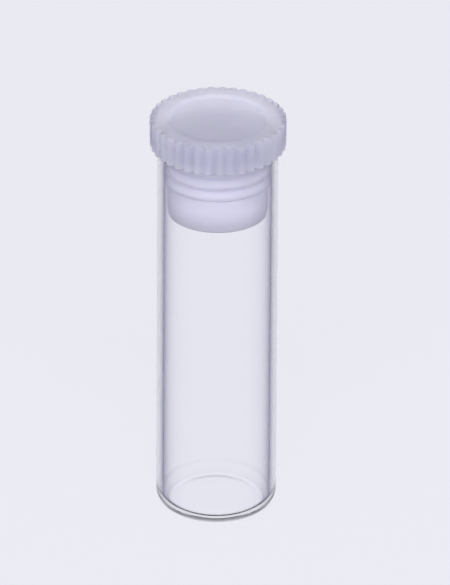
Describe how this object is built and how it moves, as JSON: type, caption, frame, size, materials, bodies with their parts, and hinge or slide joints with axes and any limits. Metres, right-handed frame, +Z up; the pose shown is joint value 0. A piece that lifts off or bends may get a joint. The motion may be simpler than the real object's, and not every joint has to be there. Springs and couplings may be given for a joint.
{
  "type": "glass sample vial",
  "caption": "Tall clear glass vial with a flat, slightly pushed-up base, closed by a translucent plug stopper with a dished, serrated head and sealing rings.",
  "frame": {"origin": "centre of the base, on the surface the vial stands on", "axes": "+Z up along the vial's axis, from the base to the stopper"},
  "size_m": [0.0238, 0.0238, 0.0753],
  "materials": {
    "glass": "clear, fire-polished",
    "polyethylene": "translucent, satin"
  },
  "bodies": {
    "vial": {"glass_vial": "glass"},
    "plug_stopper": {"stopper": "polyethylene"}
  },
  "joints": [
    {"name": "stopper_pull", "type": "slide", "parent": "vial", "child": "plug_stopper", "axis": [0, 0, 1], "range_m": [0, 0.02]}
  ]
}
